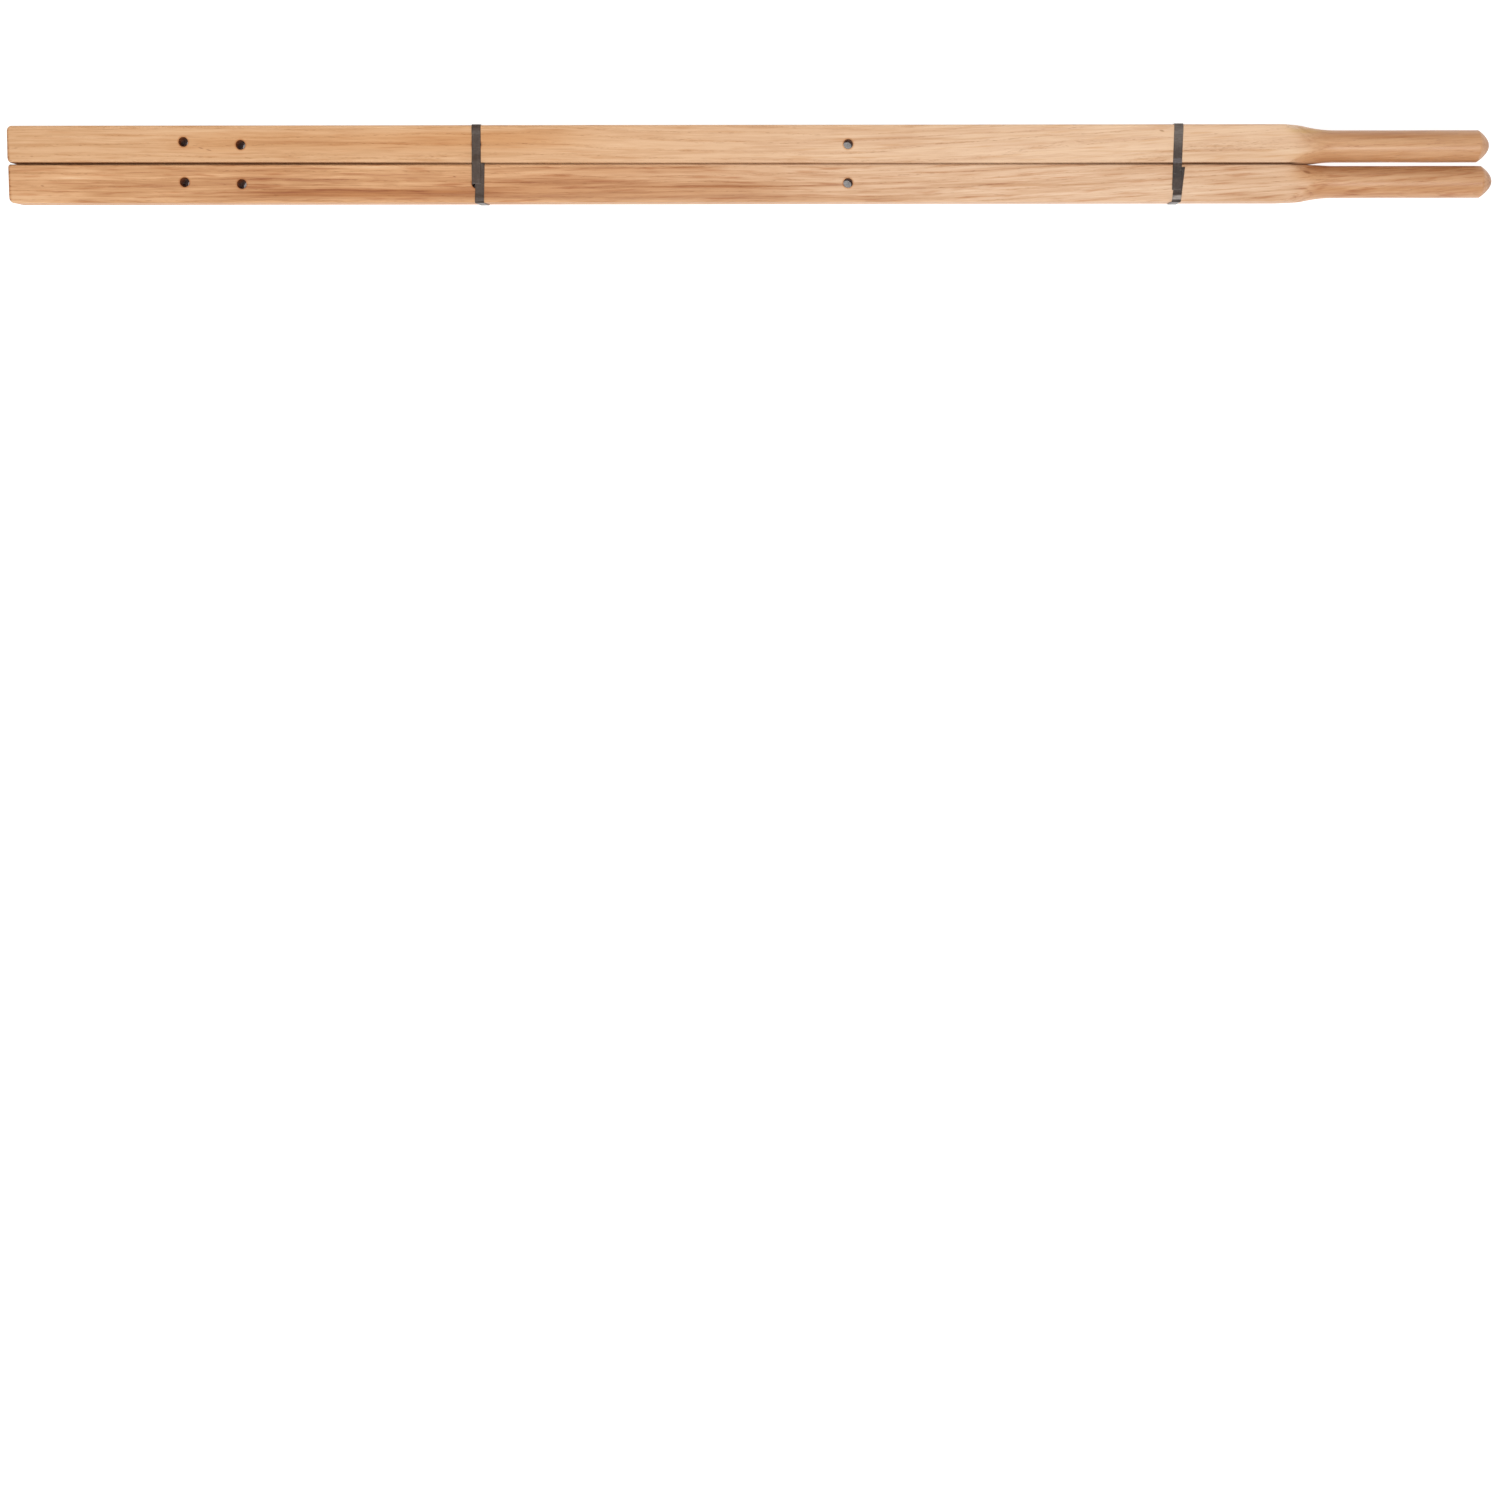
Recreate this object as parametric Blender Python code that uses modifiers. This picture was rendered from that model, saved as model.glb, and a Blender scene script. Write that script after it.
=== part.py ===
"""A strapped pair of wooden barrow handles, lying side by side.

Each handle is a sawn square bar with eased edges, drilled crosswise for four bolts and turned
down at its rear end to a round, domed grip. Two plastic straps, each lapped and welded on top
of the lower handle, hold the pair together. Metres, +Z up, +X along the bars towards the grips.
The origin is under the middle of the bundle, on the surface that it lies on.
"""

import math

import bmesh
import bpy
import numpy as np
from mathutils import Matrix, Vector

# The pair
LENGTH = 1.524  # the lower handle, front end to grip tip
UPPER_SHORTFALL = 0.0041  # the upper handle's grip ends this much sooner
BAR_HEIGHT = 0.0385
PAIR_HALF_WIDTH = 0.0386  # outer faces, either side of the middle plane
EASE = 0.002  # rounding of the bars' long edges
FRONT_GAP = 0.0012  # between the two bars, at their front ends
SHOULDER_GAP = 0.0003  # and at their shoulders, where they all but touch
SPLIT_FRONT = 0.00065  # where the bars meet, at the front end
SPLIT_SHOULDER = -0.00085  # and at the shoulders: the stock is a little out of parallel

# The turned end of a handle
SHOULDER_START = 1.300  # from the front end
SHOULDER_END = 1.3615
SHOULDER_SWEEP = 0.140  # radius of the concave sweep that the cutter leaves
GRIP_RADIUS = 0.0162
DOME_RADIUS = 0.0168
GRIP_FROM_OUTER_FACE = {"upper": 0.0209, "lower": 0.0206}

# Bolt holes
HOLE_DIAMETER = 0.0095
HOLES_ALONG = (0.1807, 0.2391, 0.4794, 0.8599)
HOLES_FROM_OUTER_FACE = {
    "upper": (0.0164, 0.0194, 0.0193, 0.0194),
    "lower": (0.0206, 0.0187, 0.0188, 0.0190),
}

# Front ends: how far each upright corner is rounded, and how far the inner corner sits back
FRONT_ROUND_OUTER = {"upper": 0.003, "lower": 0.007}
FRONT_ROUND_INNER = {"upper": 0.005, "lower": 0.002}
FRONT_SKEW = {"upper": 0.0, "lower": 0.0022}

# Straps
STRAP_WIDTH = 0.0093
STRAP_THICKNESS = 0.0006
STRAP_GAP = 0.0003  # to the wood
LAP_GAP = 0.0001  # between the two layers of a lap
RAMP = 0.0075  # the length over which the outer layer climbs onto the inner one
WELD_WIDTH = 0.005
WELD_OVERRUN = 0.0002  # how deep the weld reaches into each layer
# For each strap, where its band runs along X: the inner layer's end, then the lower handle's
# top edge, then the upper handle's top edge, then the outer layer's end. The ends are Y values.
STRAPS = {
    "front_strap": {
        "along": (-0.2784, -0.2798, -0.2818, -0.2826),
        "inner_end": 0.0008,
        "outer_end": -0.0204,
        "weld": (-0.0150, -0.0050),
    },
    "rear_strap": {
        "along": (0.4380, 0.4340, 0.4352, 0.4344),
        "inner_end": -0.0042,
        "outer_end": -0.0272,
        "weld": (-0.0170, -0.0070),
    },
}

FRONT = -LENGTH / 2
BAR_BOTTOM = STRAP_THICKNESS + STRAP_GAP
BAR_TOP = BAR_BOTTOM + BAR_HEIGHT
BAR_MIDDLE = BAR_BOTTOM + BAR_HEIGHT / 2
MERGE = 0.00001
TURN_STEPS = 48
HOLE_SIDES = 32
ARC_STEPS = 4

WOOD = {"upper": (0.72, 0.42, 0.21), "lower": (0.62, 0.32, 0.15)}
STRAP_GREY = (0.075, 0.067, 0.062)


def clear_scene():
    for obj in list(bpy.data.objects):
        bpy.data.objects.remove(obj, do_unlink=True)


def new_collection(name):
    collection = bpy.data.collections.new(name)
    bpy.context.scene.collection.children.link(collection)
    return collection


def plain_material(name, colour, roughness):
    material = bpy.data.materials.new(name)
    material.use_nodes = True
    shader = material.node_tree.nodes["Principled BSDF"]
    shader.inputs["Base Color"].default_value = (*colour, 1.0)
    shader.inputs["Roughness"].default_value = roughness
    shader.inputs["Metallic"].default_value = 0.0
    return material


def object_from(bm, name, collection, origin):
    """The bmesh, drawn in world places, as an object whose origin is at the given point."""
    bmesh.ops.translate(bm, verts=bm.verts[:], vec=-Vector(origin))
    mesh = bpy.data.meshes.new(name)
    bm.to_mesh(mesh)
    bm.free()
    obj = bpy.data.objects.new(name, mesh)
    obj.location = origin
    collection.objects.link(obj)
    return obj


def as_cutter(obj):
    obj.hide_render = True
    obj.display_type = "WIRE"
    return obj


def boolean(obj, other, operation):
    modifier = obj.modifiers.new(f"{operation.lower()} {other.name}", "BOOLEAN")
    modifier.object = other
    modifier.operation = operation
    modifier.solver = "EXACT"


def inner_face(sign, along):
    """Y of a bar's inner face, this far from its front end."""
    part = along / SHOULDER_START
    split = SPLIT_FRONT + (SPLIT_SHOULDER - SPLIT_FRONT) * part
    gap = FRONT_GAP + (SHOULDER_GAP - FRONT_GAP) * part
    return split + sign * gap / 2


def front_corner(bm, side, radius, outer):
    """Rounds one upright corner of the bar's front end."""
    sign = 1 if (side == "upper") == outer else -1
    edges = []
    for edge in bm.edges:
        a, b = (vertex.co for vertex in edge.verts)
        upright = abs(a.z - b.z) > BAR_HEIGHT / 2
        near_front = max(a.x, b.x) < FRONT + 0.01
        middle = (PAIR_HALF_WIDTH if side == "upper" else -PAIR_HALF_WIDTH) / 2
        if upright and near_front and (a.y - middle) * sign > 0:
            edges.append(edge)
    bmesh.ops.bevel(
        bm, geom=edges, offset=radius, affect="EDGES", segments=4, profile=0.5, material=-1
    )


def square_bar(side):
    """The sawn bar: square, a little out of parallel, with its long edges eased."""
    sign = 1 if side == "upper" else -1
    bm = bmesh.new()
    bmesh.ops.create_cube(bm, size=2.0)
    for vertex in bm.verts:
        rear = vertex.co.x > 0
        outer = vertex.co.y * sign > 0
        along = LENGTH + 0.02 if rear else (0.0 if outer else FRONT_SKEW[side])
        vertex.co.x = FRONT + along
        vertex.co.y = sign * PAIR_HALF_WIDTH if outer else inner_face(sign, along)
        vertex.co.z = BAR_TOP if vertex.co.z > 0 else BAR_BOTTOM
    front_corner(bm, side, FRONT_ROUND_OUTER[side], outer=True)
    front_corner(bm, side, FRONT_ROUND_INNER[side], outer=False)
    rims = [
        edge
        for edge in bm.edges
        if abs(edge.verts[0].co.z - edge.verts[1].co.z) < MERGE
        and edge.calc_face_angle() > 1.0
    ]
    bmesh.ops.bevel(
        bm, geom=rims, offset=EASE, affect="EDGES", segments=3, profile=0.5, material=-1
    )
    return bm


def turned_profile(length):
    """(along, radius) points of the turned end: a full cylinder, the sweep, the grip, the dome."""
    clear_radius = BAR_HEIGHT
    start = SHOULDER_END - math.sqrt(
        SHOULDER_SWEEP**2 - (SHOULDER_SWEEP + GRIP_RADIUS - clear_radius) ** 2
    )
    points = [(-0.02, 0.0), (-0.02, clear_radius)]
    for along in np.linspace(start, SHOULDER_END, 14):
        rise = SHOULDER_SWEEP - math.sqrt(SHOULDER_SWEEP**2 - (SHOULDER_END - along) ** 2)
        points.append((along, GRIP_RADIUS + rise))
    centre = length - DOME_RADIUS
    widest = math.asin(GRIP_RADIUS / DOME_RADIUS)
    for angle in np.linspace(widest, 0.0, 8):
        points.append(
            (centre + DOME_RADIUS * math.cos(angle), DOME_RADIUS * math.sin(angle))
        )
    return points


def turning(side, length, cutters):
    """The solid that a handle's turned end is cut to, spun about the grip's axis."""
    sign = 1 if side == "upper" else -1
    axis_y = sign * (PAIR_HALF_WIDTH - GRIP_FROM_OUTER_FACE[side])
    bm = bmesh.new()
    last = None
    for along, radius in turned_profile(length):
        vertex = bm.verts.new((FRONT + along, axis_y, BAR_MIDDLE + radius))
        if last:
            bm.edges.new((last, vertex))
        last = vertex
    obj = object_from(bm, f"{side}_turning", cutters, (FRONT, axis_y, BAR_MIDDLE))
    screw = obj.modifiers.new("spin", "SCREW")
    screw.axis = "X"
    screw.steps = TURN_STEPS
    screw.render_steps = TURN_STEPS
    screw.use_merge_vertices = True
    screw.merge_threshold = MERGE
    screw.use_normal_flip = True
    return as_cutter(obj)


def drill(side, number, cutters):
    """The cylinder of one bolt hole, drilled straight down through the bar."""
    sign = 1 if side == "upper" else -1
    place = (
        FRONT + HOLES_ALONG[number],
        sign * (PAIR_HALF_WIDTH - HOLES_FROM_OUTER_FACE[side][number]),
        BAR_MIDDLE,
    )
    bm = bmesh.new()
    bmesh.ops.create_cone(
        bm,
        cap_ends=True,
        segments=HOLE_SIDES,
        radius1=HOLE_DIAMETER / 2,
        radius2=HOLE_DIAMETER / 2,
        depth=BAR_HEIGHT + 0.01,
        matrix=Matrix.Translation(place),
    )
    return as_cutter(object_from(bm, f"{side}_drill_{number + 1}", cutters, place))


def handle(side, parts, cutters):
    """One handle: the bar, turned down at its rear end and drilled."""
    length = LENGTH - (UPPER_SHORTFALL if side == "upper" else 0.0)
    sign = 1 if side == "upper" else -1
    origin = (0.0, sign * PAIR_HALF_WIDTH / 2, BAR_MIDDLE)
    obj = object_from(square_bar(side), f"{side}_handle", parts, origin)
    boolean(obj, turning(side, length, cutters), "INTERSECT")
    for number in range(len(HOLES_ALONG)):
        boolean(obj, drill(side, number, cutters), "DIFFERENCE")
    obj.data.materials.append(plain_material(f"{side} handle wood", WOOD[side], 0.55))
    obj.data.shade_smooth()
    obj.data.set_sharp_from_angle(angle=math.radians(35))
    return obj


def rounded_corner(centre_y, centre_z, start_degrees, steps=ARC_STEPS):
    """Points round one corner of a strap, a quarter turn clockwise as seen from the grips."""
    radius = EASE + STRAP_GAP
    points = []
    for step in range(steps + 1):
        angle = math.radians(start_degrees + 90.0 * step / steps)
        points.append(
            (centre_y + radius * math.cos(angle), centre_z + radius * math.sin(angle))
        )
    return points


def strap_route(plan):
    """(y, z) along the strap's wood side, from the inner layer's end round to the outer one's,
    and the indices of the four places that the strap's line along X is given for."""
    flat_half = PAIR_HALF_WIDTH - EASE
    high = BAR_TOP - EASE
    low = BAR_BOTTOM + EASE
    level = BAR_TOP + STRAP_GAP
    lifted = level + STRAP_THICKNESS + LAP_GAP
    route = [(plan["inner_end"], level)]
    lower_edge = len(route)
    route += rounded_corner(-flat_half, high, 90.0)
    route += rounded_corner(-flat_half, low, 180.0)
    route += rounded_corner(flat_half, low, 270.0)
    route += rounded_corner(flat_half, high, 0.0)
    upper_edge = len(route) - 1
    route.append((plan["inner_end"] + 0.002 + RAMP, level))
    route.append((plan["inner_end"] + 0.002, lifted))
    route.append((plan["outer_end"], lifted))
    return route, (0, lower_edge, upper_edge, len(route) - 1)


def strap(name, parts, cutters):
    """One strap: a flat band round both bars, its ends lapped and welded."""
    plan = STRAPS[name]
    route, keys = strap_route(plan)
    steps = [math.dist(a, b) for a, b in zip(route, route[1:])]
    travelled = np.concatenate([[0.0], np.cumsum(steps)])
    along = np.interp(travelled, travelled[list(keys)], plan["along"])
    bm = bmesh.new()
    edge_points = [
        bm.verts.new((x - STRAP_WIDTH / 2, y, z)) for x, (y, z) in zip(along, route)
    ]
    edges = [bm.edges.new(pair) for pair in zip(edge_points, edge_points[1:])]
    made = bmesh.ops.extrude_edge_only(bm, edges=edges)["geom"]
    far_edge = [item for item in made if isinstance(item, bmesh.types.BMVert)]
    bmesh.ops.translate(bm, verts=far_edge, vec=(STRAP_WIDTH, 0.0, 0.0))
    origin = (sum(plan["along"]) / 4, 0.0, BAR_MIDDLE)
    obj = object_from(bm, name, parts, origin)
    thicken = obj.modifiers.new("band thickness", "SOLIDIFY")
    thicken.thickness = STRAP_THICKNESS
    thicken.offset = -1.0
    thicken.use_even_offset = True
    boolean(obj, weld(name, plan, cutters), "UNION")
    obj.data.materials.append(plain_material(f"{name} plastic", STRAP_GREY, 0.4))
    return obj


def weld(name, plan, cutters):
    """The block that fuses the two layers of a lap."""
    near, far = plan["weld"]
    bottom = BAR_TOP + STRAP_GAP + STRAP_THICKNESS - WELD_OVERRUN
    depth = LAP_GAP + 2 * WELD_OVERRUN
    place = (
        (plan["along"][0] + plan["along"][3]) / 2,
        (near + far) / 2,
        bottom + depth / 2,
    )
    bm = bmesh.new()
    bmesh.ops.create_cube(
        bm,
        size=1.0,
        matrix=Matrix.Translation(place)
        @ Matrix.Diagonal((WELD_WIDTH, far - near, depth, 1.0)),
    )
    return as_cutter(object_from(bm, f"{name}_weld", cutters, place))


clear_scene()
parts_collection = new_collection("barrow_handle_pair")
cutters_collection = new_collection("cutters")
for handle_side in ("upper", "lower"):
    handle(handle_side, parts_collection, cutters_collection)
for strap_name in STRAPS:
    strap(strap_name, parts_collection, cutters_collection)
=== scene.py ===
"""A strapped pair of wooden barrow handles, with its fine surfaces, on a plain pale floor."""

import math
import random

import bmesh
import bpy
from mathutils import Matrix, Vector


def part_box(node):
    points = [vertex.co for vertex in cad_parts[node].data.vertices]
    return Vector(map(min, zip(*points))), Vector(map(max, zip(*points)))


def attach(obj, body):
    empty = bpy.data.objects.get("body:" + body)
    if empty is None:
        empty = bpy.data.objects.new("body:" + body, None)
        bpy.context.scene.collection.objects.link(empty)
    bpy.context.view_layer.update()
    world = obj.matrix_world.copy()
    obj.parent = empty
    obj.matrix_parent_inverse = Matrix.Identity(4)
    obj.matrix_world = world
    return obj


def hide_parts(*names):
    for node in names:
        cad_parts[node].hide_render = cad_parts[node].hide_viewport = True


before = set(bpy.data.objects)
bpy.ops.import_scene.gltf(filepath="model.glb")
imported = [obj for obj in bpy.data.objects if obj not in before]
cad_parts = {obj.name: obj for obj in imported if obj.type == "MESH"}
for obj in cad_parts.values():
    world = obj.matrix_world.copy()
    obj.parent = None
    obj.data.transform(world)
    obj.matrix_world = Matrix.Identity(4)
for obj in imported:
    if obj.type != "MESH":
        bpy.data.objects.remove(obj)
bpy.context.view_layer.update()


# ---------------------------------------------------------------------------------------------
# The lower handle
# One length of ash: a sawn and planed bar with eased edges, its front corners knocked off, its
# rear end swept down on a shaping cutter to a round grip with a domed end, then sanded. Four
# bolt holes are drilled through it from the top, and each mouth breaks out a little.
# ---------------------------------------------------------------------------------------------

class Tap:
    """A shader socket. Python arithmetic on it adds the Math nodes."""

    def __init__(self, bench, socket):
        self.bench = bench
        self.socket = socket

    def maths(self, operation, *values):
        return self.bench.add("ShaderNodeMath", {"operation": operation}, dict(enumerate(values)))

    def __add__(self, other):
        return self.maths("ADD", self, other)

    def __sub__(self, other):
        return self.maths("SUBTRACT", self, other)

    def __rsub__(self, other):
        return self.maths("SUBTRACT", other, self)

    def __mul__(self, other):
        return self.maths("MULTIPLY", self, other)

    def __truediv__(self, other):
        return self.maths("DIVIDE", self, other)

    def __pow__(self, other):
        return self.maths("POWER", self, other)

    __radd__ = __add__
    __rmul__ = __mul__

    def size(self):
        return self.maths("ABSOLUTE", self)

    def cycle(self):
        """The part after the decimal point: a saw-tooth from 0 to 1."""
        return self.maths("FRACT", self)

    def least(self, other):
        return self.maths("MINIMUM", self, other)

    def most(self, other):
        return self.maths("MAXIMUM", self, other)

    def rise(self, low, high):
        """0 below low, 1 above high, and a smooth step between; low may be the greater."""
        settings = {"interpolation_type": "SMOOTHSTEP"}
        if low > high:
            return 1 - self.rise(high, low)
        return self.bench.add(
            "ShaderNodeMapRange", settings, {"Value": self, "From Min": low, "From Max": high}
        )


class Bench:
    """One material's nodes, ending in a Principled shader."""

    def __init__(self, name):
        self.material = bpy.data.materials.new(name)
        self.material.use_nodes = True
        self.tree = self.material.node_tree
        self.tree.nodes.clear()
        self.shader = self.tree.nodes.new("ShaderNodeBsdfPrincipled")
        out = self.tree.nodes.new("ShaderNodeOutputMaterial")
        self.tree.links.new(self.shader.outputs[0], out.inputs["Surface"])

    def add(self, kind, settings, sockets, output=0):
        """Any node: its type, its settings, and the values or links of its sockets."""
        node = self.tree.nodes.new(kind)
        for name, value in settings.items():
            if name == "stops":
                self.set_stops(node.color_ramp, value)
            else:
                setattr(node, name, value)
        for name, value in sockets.items():
            self.feed(node.inputs[name], value)
        return Tap(self, node.outputs[output])

    def set_stops(self, ramp, stops):
        while len(ramp.elements) < len(stops):
            ramp.elements.new(1.0)
        for element, (place, colour) in zip(ramp.elements, stops):
            element.position = place
            element.color = (*colour, 1.0)

    def feed(self, socket, value):
        if isinstance(value, Tap):
            self.tree.links.new(value.socket, socket)
        elif socket.type == "RGBA" and len(value) == 3:
            socket.default_value = (*value, 1.0)
        else:
            socket.default_value = value

    def place(self):
        """Object coordinates, which here are metres in the object's own frame."""
        return self.add("ShaderNodeTexCoord", {}, {}, output="Object")

    def split(self, vector):
        taps = self.add("ShaderNodeSeparateXYZ", {}, {0: vector})
        return [Tap(self, taps.socket.node.outputs[axis]) for axis in "XYZ"]

    def join(self, x, y, z):
        return self.add("ShaderNodeCombineXYZ", {}, {0: x, 1: y, 2: z})

    def noise(self, vector, detail=2.0, roughness=0.5, scale=1.0):
        settings = {"noise_dimensions": "3D"}
        sockets = {"Vector": vector, "Scale": scale, "Detail": detail, "Roughness": roughness}
        return self.add("ShaderNodeTexNoise", settings, sockets)

    def blend(self, first, second, amount, how="MIX"):
        """Two colours mixed; a Mix node keeps its colour sockets at 6 and 7, and its result at 2."""
        settings = {"data_type": "RGBA", "blend_type": how}
        return self.add("ShaderNodeMix", settings, {0: amount, 6: first, 7: second}, output=2)

    def tint(self, colour, tint, amount):
        return self.blend(colour, tint, amount, "MULTIPLY")

    def ramp(self, value, stops):
        node = self.add("ShaderNodeValToRGB", {"stops": stops}, {0: value})
        node.socket.node.color_ramp.interpolation = "EASE"
        return node

    def finish(self, colour, roughness, bump_height, bump_depth):
        bump = self.add(
            "ShaderNodeBump", {}, {"Height": bump_height, "Distance": bump_depth, "Strength": 1.0}
        )
        self.feed(self.shader.inputs["Base Color"], colour)
        self.feed(self.shader.inputs["Roughness"], roughness)
        self.feed(self.shader.inputs["Normal"], bump)
        return self.material


LOWER_LOW, LOWER_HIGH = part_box("lower_handle")
UPPER_LOW, UPPER_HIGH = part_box("upper_handle")
FRONT = UPPER_LOW.x
BAR_BOTTOM = LOWER_LOW.z
BAR_TOP = LOWER_HIGH.z
BAR_MIDDLE = (BAR_TOP + BAR_BOTTOM) / 2
OUTER_FACE = -LOWER_LOW.y
EASE = 0.002                # rounding of the long edges
END_EASE = 0.0009           # rounding of the sawn end's rim
FRONT_GAP = 0.0012          # between the two bars at their front ends
SHOULDER_GAP = 0.0003       # where they all but touch
TOUCH = 0.85                # distance from the front ends at which they do
SPLIT_FRONT = 0.00065       # y where the bars meet, at the front ends and at the shoulders
SPLIT_SHOULDER = -0.00085
SHOULDER_START = 1.300
SHOULDER_END = 1.3615
SHOULDER_SWEEP = 0.140      # radius of the concave sweep down to the grip
GRIP_RADIUS = 0.0162
GRIP_UNEVEN = 0.00009       # left by the hand sanding, either way
DOME_RADIUS = 0.0168
DOME_TAPER = 0.24           # how much narrower than a ball the dome has become at its tip
SANDED = 0.0004             # how softly the sweep runs out into the flats
SKEW_REACH = 0.03           # a front end that isn't cut square is made good over this length
HOLE_RADIUS = 0.00475


def inner_face(sign, along):
    """Y of a bar's inner face, this far from its front end."""
    split = SPLIT_FRONT + (SPLIT_SHOULDER - SPLIT_FRONT) * along / SHOULDER_START
    bow = ((along - TOUCH) / TOUCH) ** 2
    return split + sign * (SHOULDER_GAP + (FRONT_GAP - SHOULDER_GAP) * bow) / 2


def inset(depth, radius):
    """How far a corner of that radius has cut in, this deep behind the face it starts from."""
    if depth >= radius:
        return 0.0
    return radius - math.sqrt(radius**2 - (radius - depth) ** 2)


def eased_rectangle(low, high, ease):
    """(y, z) round a rectangle with rounded corners, always with the same number of points."""
    # Shares of a flat side, closest at the corners, where the shaping bends the outline most.
    flat_steps = (0.015, 0.06, 0.13, 0.21, 0.3, 0.4, 0.5, 0.6, 0.7, 0.79, 0.87, 0.94, 0.985)
    turn_steps = 6
    corners = []
    for quarter in range(4):
        right = quarter in (0, 3)
        up = quarter in (0, 1)
        centre_y = high[0] - ease if right else low[0] + ease
        centre_z = high[1] - ease if up else low[1] + ease
        arc = []
        for step in range(turn_steps):
            angle = math.pi / 2 * (quarter + step / (turn_steps - 1))
            arc.append((centre_y + ease * math.cos(angle), centre_z + ease * math.sin(angle)))
        corners.append(arc)
    points = []
    for arc, following in zip(corners, corners[1:] + corners[:1]):
        points += arc
        (start_y, start_z), (end_y, end_z) = arc[-1], following[0]
        for t in flat_steps:
            points.append((start_y + (end_y - start_y) * t, start_z + (end_z - start_z) * t))
    return points


def dome_places(tip):
    """Distances from the front end to the dome's centre and to where the dome starts."""
    dome_centre = tip - DOME_RADIUS
    return dome_centre, dome_centre + math.sqrt(DOME_RADIUS**2 - GRIP_RADIUS**2)


def turned_radius(along, tip):
    """The shaping cutter's radius about the grip's axis, this far from the front end."""
    dome_centre, dome_start = dome_places(tip)
    if along > dome_start:
        part = (along - dome_start) / (tip - dome_start)
        ball = math.sqrt(max(DOME_RADIUS**2 - (along - dome_centre) ** 2, 0.0))
        return ball * (1 - DOME_TAPER * part)
    if along > SHOULDER_END:
        return GRIP_RADIUS + GRIP_UNEVEN * math.sin(along * 61.0) * math.sin(along * 23.0)
    reach = min(SHOULDER_END - along, SHOULDER_SWEEP * 0.7)      # by then it is clear of the bar
    return GRIP_RADIUS + SHOULDER_SWEEP - math.sqrt(SHOULDER_SWEEP**2 - reach**2)


def soft_least(first, second):
    """The smaller of two lengths, with the change from one to the other rounded over."""
    least = min(first, second)
    rest = max(first, second) - least
    return least - SANDED * math.log1p(math.exp(-rest / SANDED))


def handle_section(handle, along):
    """The (y, z) outline of a handle, this far from its front end."""
    sign = handle["sign"]
    outer = sign * (OUTER_FACE - inset(along, handle["outer_round"]))
    inner = inner_face(sign, along) + sign * inset(along, handle["inner_round"])
    end_cut = inset(along, END_EASE)
    low = (min(outer, inner), BAR_BOTTOM + end_cut)
    high = (max(outer, inner), BAR_TOP - end_cut)
    axis_y = sign * (OUTER_FACE - handle["grip_from_outer_face"])
    radius = turned_radius(along, handle["length"])
    near_tip = radius <= 0.002          # too small there for the rounding over
    outline = []
    for y, z in eased_rectangle(low, high, EASE):
        off_y = y - axis_y
        off_z = z - BAR_MIDDLE
        square = math.hypot(off_y, off_z)
        shrink = (radius if near_tip else soft_least(square, radius)) / square
        outline.append((axis_y + off_y * shrink, BAR_MIDDLE + off_z * shrink))
    return outline


def handle_stations(length):
    """Distances from the front end at which a handle's outline is drawn, closest on the curves."""
    near_end = [0.0, 0.00008, 0.0002, 0.0004, 0.0006, 0.0009, 0.0014, 0.002]
    near_end += [0.0028, 0.0036, 0.0046, 0.0058, 0.007, 0.009, 0.014]
    bar = [0.03 + 0.0127 * step for step in range(99)]
    shoulder = [SHOULDER_START - 0.010 + 0.0022 * step for step in range(34)]
    dome_centre, dome_start = dome_places(length)
    grip_start = shoulder[-1] + 0.004
    grip_end = dome_start - 0.0004
    grip_steps = 16
    grip = [grip_start + (grip_end - grip_start) * n / grip_steps for n in range(grip_steps + 1)]
    widest = math.asin(GRIP_RADIUS / DOME_RADIUS)
    dome_steps = 12
    turns = [widest * (1 - n / dome_steps) for n in range(dome_steps)]
    dome = [dome_centre + DOME_RADIUS * math.cos(turn) for turn in turns]
    nearly_tip = length - 0.000004
    return near_end + bar + shoulder + grip + dome + [nearly_tip]


def first_ring(bm, count):
    """A face with that many corners, to be placed and then drawn out."""
    ring = [bm.verts.new((0.0, 0.0, 0.0)) for _ in range(count)]
    bm.faces.new(ring)
    return ring


def ring_edges(bm, ring):
    return [bm.edges.get(pair) for pair in zip(ring, ring[1:] + ring[:1])]


def next_ring(bm, ring):
    """The ring drawn out once more: its new corners, in the old ones' order."""
    made = bmesh.ops.extrude_edge_only(bm, edges=ring_edges(bm, ring))["geom"]
    fresh = {item for item in made if isinstance(item, bmesh.types.BMVert)}
    follow = {}
    for corner in fresh:
        for edge in corner.link_edges:
            if edge.other_vert(corner) not in fresh:
                follow[edge.other_vert(corner)] = corner
    return [follow[corner] for corner in ring]


def close_ring(bm, ring):
    bmesh.ops.edgeloop_fill(bm, edges=ring_edges(bm, ring))
    bmesh.ops.recalc_face_normals(bm, faces=bm.faces[:])


def handle_body(handle):
    """The turned bar, drawn outline by outline from its front end to its tip."""
    bm = bmesh.new()
    ring = []
    for along in handle_stations(handle["length"]):
        outline = handle_section(handle, along)
        ring = next_ring(bm, ring) if ring else first_ring(bm, len(outline))
        skew_left = handle["skew"] * max(0.0, 1.0 - along / SKEW_REACH)
        for vertex, (y, z) in zip(ring, outline):
            inward = (OUTER_FACE - handle["sign"] * y) / OUTER_FACE
            set_back = skew_left * (inward if skew_left > 0 else inward - 1)
            vertex.co = (FRONT + along + set_back, y, z)
    close_ring(bm, ring)
    return bm


def new_piece(name, bm):
    mesh = bpy.data.meshes.new(name)
    bm.to_mesh(mesh)
    bm.free()
    piece = bpy.data.objects.new(name, mesh)
    bpy.context.scene.collection.objects.link(piece)
    return piece


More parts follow.
